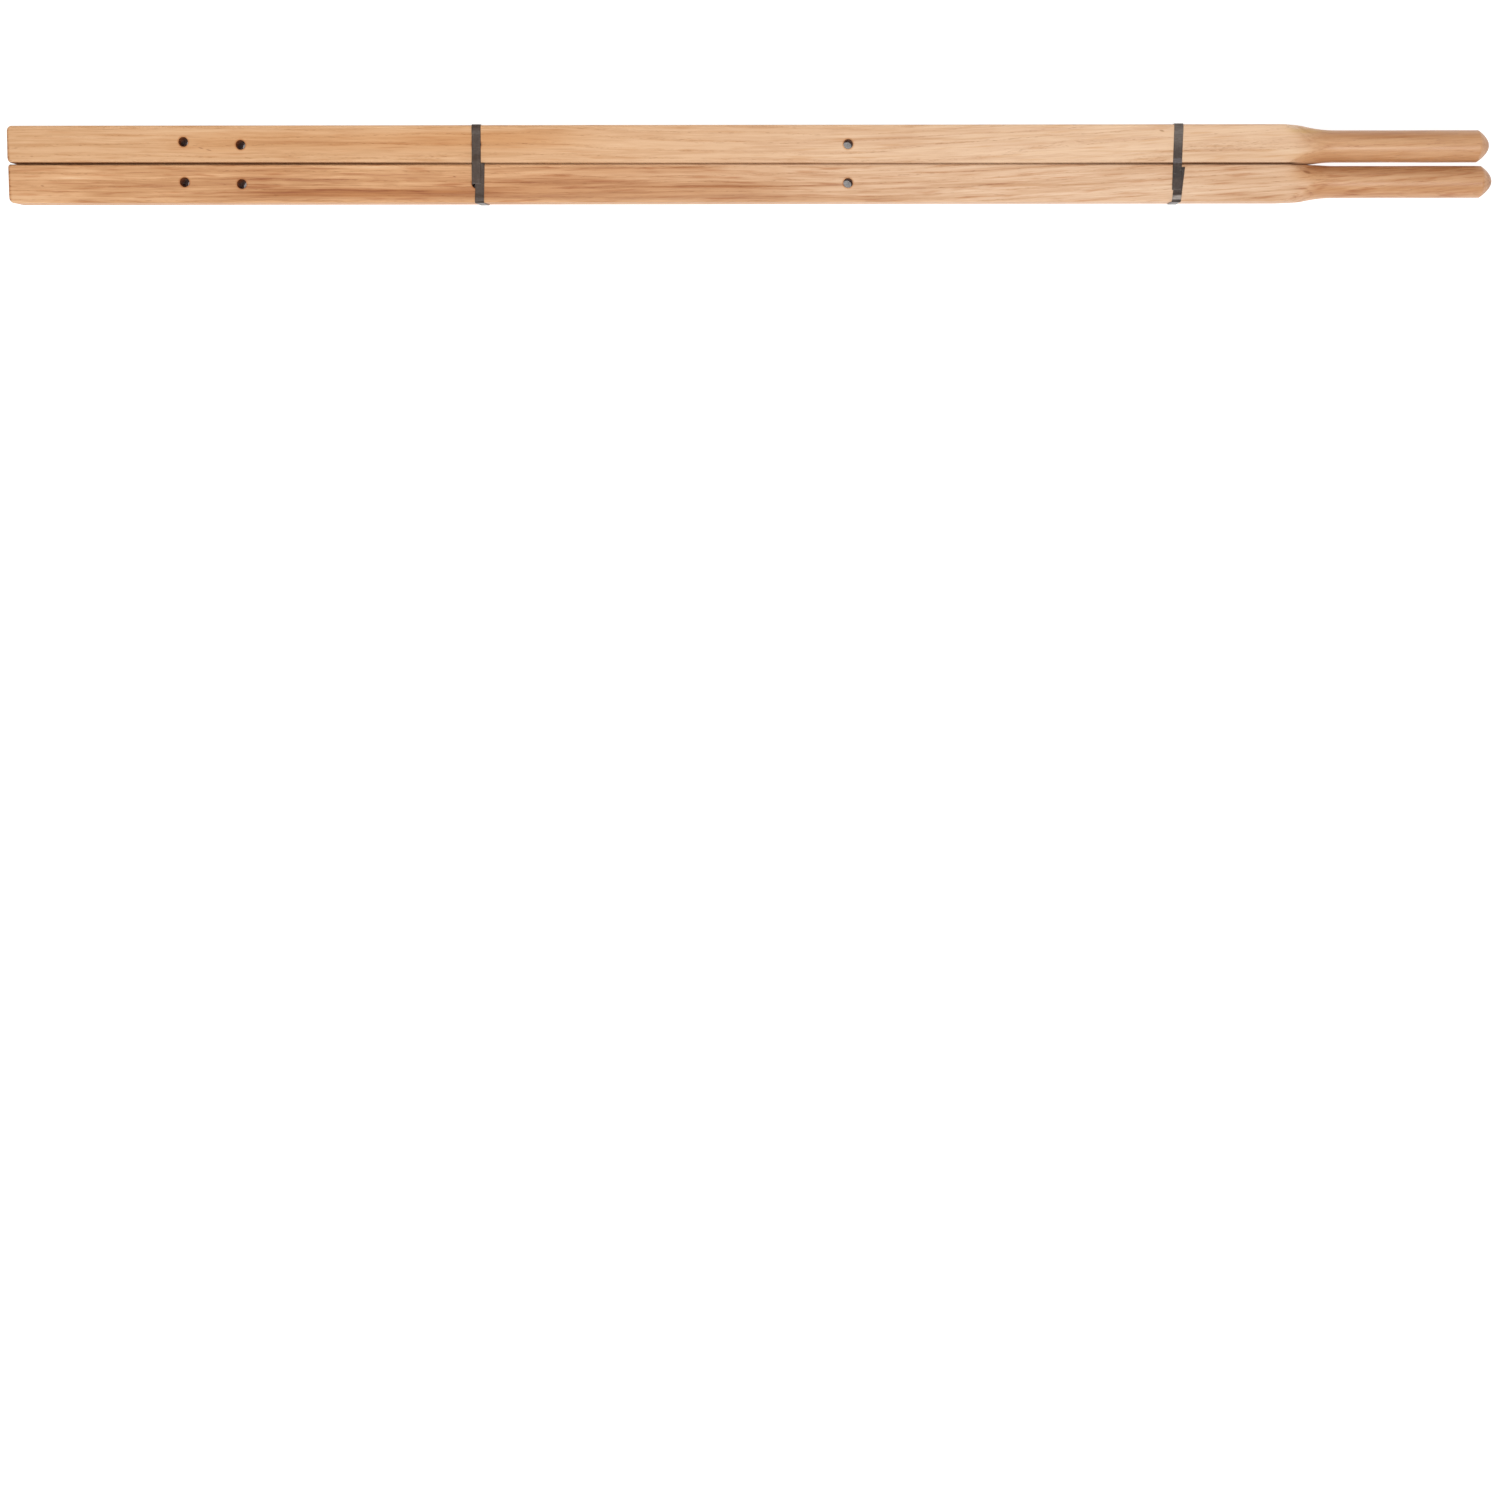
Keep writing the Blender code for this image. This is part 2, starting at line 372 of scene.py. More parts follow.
def drill_bit(name, centre, seed):
    """A drill's cut: straight, with mouths that break out unevenly."""
    rng = random.Random(seed)
    sides = 40
    ragged = [rng.uniform(-0.00012, 0.00016) for _ in range(sides)]
    # Height, flare beyond the hole's radius, and how ragged the wood is there.
    levels = (
        (BAR_TOP + 0.0020, 0.0023, 1.0),
        (BAR_TOP + 0.0000, 0.0003, 1.0),
        (BAR_TOP - 0.0004, 0.0000, 0.4),
        (BAR_TOP - 0.0040, 0.0000, 0.0),
        (BAR_BOTTOM + 0.0040, 0.0000, 0.0),
        (BAR_BOTTOM + 0.0010, 0.0002, 0.5),
        (BAR_BOTTOM + 0.0000, 0.0008, 2.0),
        (BAR_BOTTOM - 0.0020, 0.0024, 2.0),
    )
    bm = bmesh.new()
    ring = []
    for z, flare, rough in levels:
        ring = next_ring(bm, ring) if ring else first_ring(bm, sides)
        for side, (vertex, chip) in enumerate(zip(ring, ragged)):
            turn = math.tau * side / sides
            radius = HOLE_RADIUS + flare + rough * chip
            vertex.co = (centre[0] + radius * math.cos(turn), centre[1] + radius * math.sin(turn), z)
    close_ring(bm, ring)
    return new_piece(name, bm)


def hole_centres(handle):
    places = []
    for along, from_outer_face in zip(handle["holes_along"], handle["holes_from_outer_face"]):
        places.append((FRONT + along, handle["sign"] * (OUTER_FACE - from_outer_face)))
    return places


def make_handle(name, handle):
    """A handle, turned, drilled and shaded smooth, with its place in its mesh."""
    piece = new_piece(name, handle_body(handle))
    bits = []
    for number, centre in enumerate(hole_centres(handle)):
        bit = drill_bit(f"{name}_bit_{number}", centre, 11 * number + handle["sign"])
        cut = piece.modifiers.new(bit.name, "BOOLEAN")
        cut.object = bit
        cut.operation = "DIFFERENCE"
        cut.solver = "EXACT"
        bits.append(bit)
    finished = piece.evaluated_get(bpy.context.evaluated_depsgraph_get())
    drilled = bpy.data.meshes.new_from_object(finished)
    piece.modifiers.clear()
    piece.data = drilled
    drilled.name = name
    for bit in bits:
        bpy.data.objects.remove(bit, do_unlink=True)
    drilled.shade_smooth()
    drilled.set_sharp_from_angle(angle=math.radians(38))
    drilled.materials.clear()
    return piece


BROWN = (0.72, 0.54, 0.35)              # the tints all multiply the wood's own colour
STRAW = (0.92, 0.82, 0.68)
# Pale wood; along the grips, painted highlights.
BLEACHED_AND_HIGHLIGHT = (1.09, 1.14, 1.20)
FLECK = (0.50, 0.34, 0.22)
PORE = (0.62, 0.47, 0.36)
CUT_ACROSS = (0.74, 0.63, 0.53)
CUT_EARLYWOOD = (0.72, 0.58, 0.46)
# Dirt, and painted shade in the gap between the bars.
DIRT_AND_GAP_SHADE = (0.30, 0.19, 0.12)
SMUDGED = (0.80, 0.66, 0.52)
# Scorch, and painted shade inside the holes.
SCORCHED_AND_SHADED = (0.58, 0.39, 0.25)


def ash(name, handle):
    """Planed ash: growth rings, fibres, pores, streaks and painted grip highlights, flecks, end
    grain, dirt and painted shade along the gap, holes scorched and painted with shade.
    """
    bench = Bench(name)
    x, y, z = bench.split(bench.place())
    along = x - FRONT
    seed = handle["seed"]

    # The grain climbs away from the bar's line towards the grip.
    climb = (along - handle["straight_to"]).most(0.0)
    wander = bench.noise(bench.join(along * 1.7 + seed, 0.0, 0.0), detail=1.0)
    across = y - climb * climb * handle["grain_climb"] - (wander - 0.5) * 0.018

    # Growth rings about a pith that lay outside the bar.
    pith_y, pith_z = handle["pith"]
    sway = bench.noise(bench.join(along * 2.6 + seed, across * 24.0, z * 24.0), detail=2.0)
    off_y = across - pith_y
    off_z = z - pith_z
    from_pith = (off_y * off_y + off_z * off_z) ** 0.5 + (sway - 0.5) * 0.010
    ring = (from_pith / handle["ring"]).cycle()
    early = ring.rise(0.42, 0.06) * ring.rise(0.0, 0.05)

    # Fibres, from broad bands down to hair lines.
    broad = bench.noise(bench.join(along * 3.2 + seed, across * 70.0, z * 70.0), detail=1.5)
    streaks = bench.noise(
        bench.join(along * 8.5, across * 250.0, z * 250.0 + seed), detail=3.0, roughness=0.6
    )
    hairs = bench.noise(bench.join(along * 34.0, across * 1050.0, z * 1050.0 + seed), detail=2.0)
    pores = bench.noise(bench.join(along * 150.0, across * 2300.0, z * 2300.0), detail=1.0)
    pore = pores.rise(0.60, 0.72) * (early * 0.85 + 0.15)

    tone = (
        0.52
        + (broad - 0.5) * handle["broad"]
        + (streaks - 0.5) * handle["streaky"]
        + (hairs - 0.5) * 0.55
        - early * handle["ring_depth"]
    )
    front_colour = bench.ramp(tone, handle["front_stops"])
    rear_colour = bench.ramp(tone, handle["rear_stops"])
    colour = bench.blend(front_colour, rear_colour, along.rise(0.42, 1.02))

    # Short brown dashes of dense wood, with bleached wood between them.
    dashes = bench.noise(
        bench.join(along * 19.0 + seed, across * 330.0, z * 330.0), detail=2.5, roughness=0.62
    )
    colour = bench.tint(colour, handle["dash_tint"], dashes.rise(0.50, 0.70))
    colour = bench.tint(colour, BLEACHED_AND_HIGHLIGHT, dashes.rise(0.47, 0.30) * 0.45)

    # Streaks and stains that belong to this piece of timber: brown, straw or bleached. The pale
    # streaks on the grips are painted highlights.
    for start, end, middle, half, tint, strength in handle["streaks"]:
        fade = min(0.05, (end - start) / 2)
        length_mask = along.rise(start - fade, start + fade) * along.rise(end + fade, end - fade)
        edge = (streaks - 0.5) * (half * 1.2 + 0.004)
        width_mask = (y - middle + edge).size().rise(half * 1.5, half * 0.2)
        colour = bench.tint(colour, tint, length_mask * width_mask * strength)

    # Small flecks, lying a little across the grain.
    fleck_slope = -0.2
    for fleck_along, fleck_y, half_length, half_width in handle["flecks"]:
        far_x = (along - fleck_along) / half_length
        far_y = (y - fleck_y - (along - fleck_along) * fleck_slope) / half_width
        far = (far_x * far_x + far_y * far_y) ** 0.5
        colour = bench.tint(colour, FLECK, far.rise(1.2, 0.3) * 0.75)

    # The shaped and sanded end is tinted a deeper colour than the planed bar.
    shaped = along.rise(SHOULDER_START + 0.006, SHOULDER_END - 0.012)
    colour = bench.tint(colour, handle["grip_tint"], shaped)

    # Pores, and the sawn and turned ends, where the fibres are cut across.
    colour = bench.tint(colour, PORE, pore * 0.7)
    sawn = along.rise(0.0035, 0.0010)
    domed = along.rise(handle["length"] - 0.011, handle["length"])
    end_grain = sawn.most(domed * 0.7)
    colour = bench.tint(colour, CUT_ACROSS, end_grain)
    colour = bench.tint(colour, CUT_EARLYWOOD, end_grain * early)

    # Dirt and painted shade darken the inner faces along the gap between the bars, most of all along
    # their upper edges, and less halfway along.
    depth_in = (y - inner_face(handle["sign"], 0.0)) * handle["sign"] + along * handle["inner_drift"]
    dirt_and_shade_width = 0.0017 - along * 0.0005
    grime_and_gap_shade = ((dirt_and_shade_width - depth_in) / 0.0011 + (hairs - 0.5) * 0.5).rise(0.0, 1.0)
    midway_fade = along.rise(0.28, 0.62) * along.rise(1.24, 1.02) * 0.65
    at_edge = z.rise(BAR_TOP - 0.008, BAR_TOP - 0.002) * 0.75 + 0.25
    grime_and_gap_shade = grime_and_gap_shade * at_edge * (1 - midway_fade) * handle["grime_and_gap_shade"]
    colour = bench.tint(colour, DIRT_AND_GAP_SHADE, grime_and_gap_shade)

    # Drilling scorches the walls of the holes and smudges their mouths. The walls' dark tint is also
    # painted shade inside the holes.
    flat = bench.join(x, y, 0.0)
    measure = {"operation": "DISTANCE"}
    nearest = None
    for centre in hole_centres(handle):
        ends = {0: flat, 1: (*centre, 0.0)}
        far = bench.add("ShaderNodeVectorMath", measure, ends, output="Value")
        nearest = far if nearest is None else nearest.least(far)
    mouth = HOLE_RADIUS + 0.0003
    smudge = HOLE_RADIUS + 0.0022
    colour = bench.tint(colour, SMUDGED, nearest.rise(smudge, mouth))
    colour = bench.tint(colour, SCORCHED_AND_SHADED, nearest.rise(mouth, HOLE_RADIUS))

    roughness = 0.56 + (hairs - 0.5) * 0.25 + early * 0.06 - shaped * 0.20 + end_grain * 0.15
    relief = hairs * 0.35 + streaks * 0.35 - early * 0.25 - pore * 0.8
    return bench.finish(colour, roughness, relief, bump_depth=0.00012)


def rgb(code):
    """A colour given as two hexadecimal digits each of red, green and blue, in linear light."""
    parts = [int(code[i:i + 2], 16) / 255 for i in (0, 2, 4)]
    return tuple(p / 12.92 if p <= 0.04045 else ((p + 0.055) / 1.055) ** 2.4 for p in parts)


def wood_stops(*codes):
    """A ramp from the darkest wood to the palest."""
    return tuple(zip((0.0, 0.34, 0.6, 1.0), map(rgb, codes)))


LOWER = {
    "sign": -1,                                  # which side of the pair it is on
    "length": LOWER_HIGH.x - FRONT,
    "outer_round": 0.005,                        # the front end's upright corners
    "inner_round": 0.002,
    "skew": 0.0006,                              # front end's inner side set back; < 0, the outer
    "grip_from_outer_face": 0.0206,
    "holes_along": (0.1807, 0.2391, 0.4794, 0.8599),
    "holes_from_outer_face": (0.0206, 0.0187, 0.0188, 0.0190),
    "seed": 3.7,
    "straight_to": 0.80,                         # from there on the grain climbs across the bar
    "grain_climb": 0.085,
    "pith": (0.055, -0.075),                     # y and z of the tree's heart
    "ring": 0.0031,
    "ring_depth": 0.13,
    "broad": 0.75,
    "streaky": 1.15,
    "front_stops": wood_stops("A9693F", "C8905F", "DDA878", "EBBF93"),
    "rear_stops": wood_stops("BE8A66", "D6AA84", "E2BA97", "F0D0B0"),
    "dash_tint": (0.79, 0.63, 0.50),
    "grip_tint": (0.82, 0.68, 0.54),
    "grime_and_gap_shade": 0.55,
    "inner_drift": -0.0015,                      # the edge of the dirt and painted gap shade wanders this much per metre
    # Start and end along the bar, y of the middle, half the width, tint and strength.
    "streaks": (
        (0.02, 0.42, -0.0090, 0.0060, BLEACHED_AND_HIGHLIGHT, 0.9),
        (0.02, 0.17, -0.0275, 0.0050, BLEACHED_AND_HIGHLIGHT, 0.9),
        (0.35, 0.50, -0.0150, 0.0060, BLEACHED_AND_HIGHLIGHT, 1.0),
        (0.235, 0.300, -0.0085, 0.0060, BROWN, 0.50),
        (0.24, 0.50, -0.0285, 0.0060, BROWN, 1.00),
        (0.44, 0.80, -0.0250, 0.0110, BROWN, 0.60),
        (0.53, 0.64, -0.0165, 0.0038, BROWN, 0.60),
        (0.56, 0.76, -0.0070, 0.0040, BROWN, 0.50),
        (0.66, 0.80, -0.0235, 0.0012, BROWN, 0.90),
        (0.67, 0.72, -0.0040, 0.0014, BROWN, 0.80),
        (0.74, 0.93, -0.0350, 0.0035, BROWN, 0.50),
        (0.93, 1.13, -0.0140, 0.0060, BLEACHED_AND_HIGHLIGHT, 0.80),
        (1.01, 1.12, -0.0275, 0.0050, BLEACHED_AND_HIGHLIGHT, 0.80),
        (0.97, 1.12, -0.0215, 0.0011, BROWN, 0.60),
        (1.20, 1.32, -0.0165, 0.0060, BROWN, 0.35),
        (1.25, 1.31, -0.0350, 0.0040, BROWN, 0.50),
        (1.318, 1.352, -0.0065, 0.0050, BROWN, 0.60),
        (1.340, 1.385, -0.0050, 0.0030, BROWN, 0.60),
        # The pale streaks on the grip at y -0.0165, -0.0235 and -0.0155 are painted highlights.
        (1.325, 1.352, -0.0165, 0.0060, BLEACHED_AND_HIGHLIGHT, 0.80),
        (1.312, 1.345, -0.0120, 0.0060, STRAW, 0.90),
        (1.318, 1.410, -0.0235, 0.0050, BLEACHED_AND_HIGHLIGHT, 1.00),
        (1.345, 1.450, -0.0310, 0.0020, BROWN, 0.50),
        (1.345, 1.510, -0.0155, 0.0050, BLEACHED_AND_HIGHLIGHT, 0.90),
        (1.360, 1.52, -0.0085, 0.0035, (0.80, 0.66, 0.50), 0.50),
        (1.43, 1.50, -0.0240, 0.0040, BROWN, 0.30),
    ),
    # Place along the bar, y, half the length and half the width.
    "flecks": (
        (0.035, -0.0215, 0.0022, 0.0007),
        (0.457, -0.0128, 0.0018, 0.0007),
        (1.330, -0.0095, 0.0050, 0.0016),
    ),
}

lower_wood = make_handle("lower_handle_wood", LOWER)
lower_wood.data.materials.append(ash("lower handle ash", LOWER))
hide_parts("lower_handle")
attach(lower_wood, "lower_handle")


# ---------------------------------------------------------------------------------------------
# The upper handle
# The second length of ash, paler and straighter in the grain, sawn, shaped and drilled like the
# first. Its front end is set back on the outer side, and its grip ends a little sooner.
# ---------------------------------------------------------------------------------------------

UPPER = {
    "sign": 1,
    "length": UPPER_HIGH.x - FRONT,
    "outer_round": 0.0045,
    "inner_round": 0.005,
    "skew": -0.0010,
    "grip_from_outer_face": 0.0209,
    "holes_along": (0.1807, 0.2391, 0.4800, 0.8599),
    "holes_from_outer_face": (0.0164, 0.0194, 0.0193, 0.0194),
    "seed": 9.2,
    "straight_to": 0.72,
    "grain_climb": 0.045,
    "pith": (-0.030, -0.110),
    "ring": 0.0027,
    "ring_depth": 0.09,
    "broad": 0.42,
    "streaky": 0.80,
    "front_stops": wood_stops("B98052", "D3A070", "E0B083", "EDC396"),
    "rear_stops": wood_stops("C4936F", "DCB28E", "E7C19D", "F3D5B5"),
    "dash_tint": (0.91, 0.83, 0.74),
    "grip_tint": (0.82, 0.67, 0.53),
    "grime_and_gap_shade": 0.9,
    "inner_drift": 0.0008,
    "streaks": (
        (0.17, 0.56, 0.0225, 0.0110, STRAW, 0.85),
        (0.40, 0.58, 0.0260, 0.0090, STRAW, 0.80),
        (0.24, 0.43, 0.0215, 0.0016, BROWN, 0.35),
        (0.74, 1.00, 0.0335, 0.0040, BROWN, 0.25),
        (0.94, 1.18, 0.0135, 0.0055, BLEACHED_AND_HIGHLIGHT, 0.60),
        (0.84, 0.98, 0.0245, 0.0013, BROWN, 0.40),
        (1.10, 1.28, 0.0120, 0.0016, BROWN, 0.35),
        (1.21, 1.30, 0.0070, 0.0022, BROWN, 0.35),
        (1.317, 1.352, 0.0325, 0.0026, (0.93, 0.88, 0.55), 1.00),
        (1.310, 1.340, 0.0055, 0.0050, STRAW, 0.90),
        # The two pale streaks on the grip that follow are painted highlights.
        (1.345, 1.40, 0.0215, 0.0035, BLEACHED_AND_HIGHLIGHT, 0.60),
        (1.40, 1.52, 0.0095, 0.0035, BLEACHED_AND_HIGHLIGHT, 0.60),
        (1.335, 1.52, 0.0300, 0.0050, BROWN, 0.50),
        (1.37, 1.46, 0.0265, 0.0030, BROWN, 0.45),
        (1.33, 1.37, 0.0065, 0.0035, BROWN, 0.30),
    ),
    "flecks": (
        (0.1985, 0.0160, 0.0030, 0.0007),
        (0.2065, 0.0140, 0.0034, 0.0007),
        (1.1800, 0.0320, 0.0030, 0.0010),
    ),
}

upper_wood = make_handle("upper_handle_wood", UPPER)
upper_wood.data.materials.append(ash("upper handle ash", UPPER))
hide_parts("upper_handle")
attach(upper_wood, "upper_handle")


# ---------------------------------------------------------------------------------------------
# The front strap
# A dark grey plastic band, rolled flat and embossed, tensioned round both bars. One end passes
# over the other on top of the pair, and the two layers are fused there by rubbing them together.
# ---------------------------------------------------------------------------------------------

STRAP_WIDTH = 0.0093
STRAP_THICKNESS = 0.0006
SIDE_ROOM = 0.0003          # between a strap and the wood, round the corners
REST = 0.00005              # between a strap and the wood, where it is pressed flat
LAP_GAP = 0.00006           # between the strap's own two layers
LAP_CLIMB = 0.0083          # length over which the outer layer climbs onto the inner one
SHOULDER_RUN = 0.0085       # length over which the band climbs to each top corner
BEND = EASE + SIDE_ROOM + STRAP_THICKNESS / 2      # radius of the band's middle at a corner


def hump(y, humps):
    """How far the stiff band stands off its rest height, with each hump fading out either way."""
    lift = 0.0
    for centre, near, far, height in humps:
        reach = near if y > centre else far
        part = min(abs(y - centre) / reach, 1.0)
        lift += height * (1 + math.cos(math.pi * part)) / 2
    return lift


def strap_middle(strap):
    """(y, z) along the middle of the band's thickness, from the hidden end to the end on top."""
    flat_half = OUTER_FACE - EASE
    rest = BAR_TOP + REST + STRAP_THICKNESS / 2
    over = rest + STRAP_THICKNESS + LAP_GAP
    side = OUTER_FACE + SIDE_ROOM + STRAP_THICKNESS / 2
    foot = STRAP_THICKNESS / 2
    upper_turn = BAR_TOP - EASE
    lower_turn = BAR_BOTTOM + EASE
    shoulder = upper_turn + BEND
    corner_steps, side_steps, foot_steps = 10, 16, 24
    step, small_step = 0.0007, 0.0005

    def across(start, end, low_start, low_end, humps, pace):
        """Across the top, climbing smoothly from one height to another over its whole length."""
        count = max(2, round(abs(end - start) / pace))
        for number in range(count + 1):
            part = number / count
            y = start + (end - start) * part
            climbed = part * part * (3 - 2 * part)
            yield y, low_start + (low_end - low_start) * climbed + hump(y, humps)

    def corner(sign_y, centre_z, first_turn):
        for number in range(1, corner_steps):
            turn = math.radians(first_turn + 90 * number / corner_steps)
            yield sign_y * flat_half + BEND * math.cos(turn), centre_z + BEND * math.sin(turn)

    def straight(start, end, steps):
        for number in range(steps + 1):
            part = number / steps
            yield start[0] + (end[0] - start[0]) * part, start[1] + (end[1] - start[1]) * part

    inner, outer = strap["inner_humps"], strap["outer_humps"]
    lap_end = strap["inner_end"] + 0.0012            # just before the hidden end's edge
    lap_start = lap_end + LAP_CLIMB
    edge = flat_half - SHOULDER_RUN
    return [
        *across(strap["inner_end"], -edge + small_step, rest, rest, inner, step),
        *across(-edge, -flat_half, rest, shoulder, inner, step),
        *corner(-1, upper_turn, 90),
        *straight((-side, upper_turn), (-side, lower_turn), side_steps),
        *corner(-1, lower_turn, 180),
        *straight((-flat_half, foot), (flat_half, foot), foot_steps),
        *corner(1, lower_turn, 270),
        *straight((side, lower_turn), (side, upper_turn), side_steps),
        *corner(1, upper_turn, 0),
        *across(flat_half, edge, shoulder, rest, outer, step),
        *across(edge - small_step, lap_start + small_step, rest, rest, outer, step),
        *across(lap_start, lap_end, rest, over, outer, small_step),
        *across(lap_end - small_step, strap["outer_end"], over, over, outer, small_step),
    ]


def band_outline():
    """(across, up) round the band's section: two flat faces and two rolled edges."""
    half_width = STRAP_WIDTH / 2
    half_thick = STRAP_THICKNESS / 2
    edge = half_thick * 0.85        # radius of the rolled edges
    outline = []
    for quarter, (side_x, side_z) in enumerate(((1, 1), (-1, 1), (-1, -1), (1, -1))):
        centre = (side_x * (half_width - edge), side_z * (half_thick - edge))
        for step in range(4):
            turn = math.pi / 2 * (quarter + step / 3)
            outline.append((centre[0] + edge * math.cos(turn), centre[1] + edge * math.sin(turn)))
        if quarter in (0, 2):
            reach = -side_x * (half_width - edge)
            for part in (-0.9, -0.6, -0.3, 0.0, 0.3, 0.6, 0.9):
                outline.append((reach * part, side_z * half_thick))
    return outline


# How far round a strap is, as shares of its run, when it leaves the top, has turned under, is
# back at the other upper corner and ends on top. Between them it runs straight.
KNOTS = (0.0, 0.155, 0.30, 0.75, 1.0)
PINCHED_END = 0.35              # how thick the cut ends are, as a share of the band's thickness
PINCH_LENGTH = 0.0012
TRIM_LENGTH = 0.0008            # the cut ends' corners are trimmed over this length
TRIMMED = 0.012
UNEVEN_WIDTH = 0.004


def strap_place(strap, part):
    """Where the band's middle line is along the bars, this share of the way round."""
    start, low_edge, high_edge, top_end = strap["along"]
    keys = (start, low_edge, low_edge + strap["lean"], high_edge, top_end)
    leg = sum(part > knot for knot in KNOTS[1:-1])
    share = (part - KNOTS[leg]) / (KNOTS[leg + 1] - KNOTS[leg])
    return keys[leg] + (keys[leg + 1] - keys[leg]) * share


def make_strap(name, strap):
    """The band, drawn section by section along its run, with (along, across) as its UV map."""
    middle = strap_middle(strap)
    travelled = [0.0]
    for here, there in zip(middle, middle[1:]):
        travelled.append(travelled[-1] + math.dist(here, there))
    run = travelled[-1]
    outline = band_outline()
    phase = random.Random(strap["seed"]).uniform(0.0, 6.0)
    bm = bmesh.new()
    uv = bm.loops.layers.uv.new("run")
    place = {}
    ring = []
    for number, ((y, z), gone) in enumerate(zip(middle, travelled)):
        before = middle[max(number - 1, 0)]
        after = middle[min(number + 1, len(middle) - 1)]
        run_y, run_z = after[0] - before[0], after[1] - before[1]
        length = math.hypot(run_y, run_z)
        out_y, out_z = run_z / length, -run_y / length
        x = strap_place(strap, gone / run)
        to_end = min(gone, run - gone)
        pinch = min(1.0, PINCHED_END + to_end / PINCH_LENGTH)
        trim = 1.0 - TRIMMED * max(0.0, 1.0 - to_end / TRIM_LENGTH)
        breadth = trim * (1 + UNEVEN_WIDTH * math.sin(gone * 95 + phase))
        ring = next_ring(bm, ring) if ring else first_ring(bm, len(outline))
        for vertex, (across, up) in zip(ring, outline):
            vertex.co = (x + across * breadth, y + out_y * up * pinch, z + out_z * up * pinch)
            place[vertex] = (gone, across)
    close_ring(bm, ring)
    for face in bm.faces:
        for loop in face.loops:
            loop[uv].uv = place[loop.vert]
    piece = new_piece(name, bm)
    piece.data.shade_smooth()
    piece.data.set_sharp_from_angle(angle=math.radians(50))
    return piece


RUBBED_GREY = (0.24, 0.22, 0.20)


def strapping_plastic(name, strap):
    """Dark grey plastic: rolled and embossed, greyed by handling, scuffed in patches, with bands of
    painted sheen, shadow and highlight across its top.
    """
    bench = Bench(name)
    map_place = bench.add("ShaderNodeUVMap", {"uv_map": "run"}, {})
    run, across, _ = bench.split(map_place)
    _, y, z = bench.split(bench.place())

    # Embossing: two crossed sets of fine ridges, worn away towards the edges.
    pitch = 0.0011
    one = ((run + across) / pitch).cycle()
    other = ((run - across) / pitch + 40.0).cycle()
    ridge = (one - 0.5).size().least((other - 0.5).size())
    inside = across.size().rise(STRAP_WIDTH * 0.48, STRAP_WIDTH * 0.40)
    emboss = ridge.rise(0.02, 0.20) * inside

    # Rolling lines run along the band, dust sits in patches, scuffs cross it.
    lines = bench.noise(bench.join(run * 12.0, across * 2600.0, strap["seed"]), detail=2.0)
    dust = bench.noise(
        bench.join(run * 140.0, across * 260.0, strap["seed"] + 4.0), detail=4.0, roughness=0.62
    )
    scuffs = bench.noise(bench.join(run * 900.0, across * 170.0, strap["seed"] + 8.0), detail=3.0)

    tone = 0.45 + (lines - 0.5) * 0.5 + (dust - 0.5) * 0.9 + emboss * 0.10
    colour = bench.ramp(tone, strap["stops"])
    # These bands are painted light and shade across the top: sheen, a shadow and highlights.
    for centre, half, shade, strength in strap["painted_light_marks"]:
        band = (y - centre + (dust - 0.5) * 0.0015).size().rise(half, half * 0.4)
        top_only = z.rise(BAR_TOP - 0.003, BAR_TOP)
        patchy = scuffs.rise(0.30, 0.62) * 0.5 + 0.5
        colour = bench.blend(colour, shade, band * top_only * patchy * strength)
    rubbed = scuffs.rise(0.60, 0.74) * 0.5
    colour = bench.blend(colour, RUBBED_GREY, rubbed * 0.5)
    roughness = 0.36 + (dust - 0.5) * 0.25 + rubbed * 0.3 + (lines - 0.5) * 0.1
    relief = emboss * 0.6 + (lines - 0.5) * 0.4 + (scuffs - 0.5) * 0.3
    bench.shader.inputs["Specular IOR Level"].default_value = 0.36
    return bench.finish(colour, roughness, relief, bump_depth=0.00005)


def plastic_stops(*codes):
    """A ramp from the cleanest plastic to the dustiest."""
    return tuple(zip((0.0, 0.45, 1.0), map(rgb, codes)))


FRONT_STRAP = {
    "along": (-0.2784, -0.2798, -0.2818, -0.2826),      # x at its start, the two corners, its end
    "lean": 0.0020,                                     # how far it shifts as it turns under
    "inner_end": 0.0008,                                # y where the hidden end and the top one stop
    "outer_end": -0.0204,
    # y of the crest, reach towards +y, reach towards -y, height.
    "inner_humps": ((-0.0335, 0.0040, 0.0040, 0.00025),),
    "outer_humps": ((0.0335, 0.0040, 0.0060, 0.00025),),
    "seed": 5,
    "stops": plastic_stops("30261F", "45362D", "655548"),
    "painted_light_marks": (),
}

front_band = make_strap("front_strap_band", FRONT_STRAP)
front_band.data.materials.append(strapping_plastic("front strap plastic", FRONT_STRAP))
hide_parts("front_strap")
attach(front_band, "front_strap")


# ---------------------------------------------------------------------------------------------
# The rear strap
# The second band of the same strapping, nearer the grips. It was pulled tight a little askew,
# and it stands off the lower bar's edge, where a highlight is painted on its crest. Painted
# sheen and a painted shadow cross its top as well.
# ---------------------------------------------------------------------------------------------

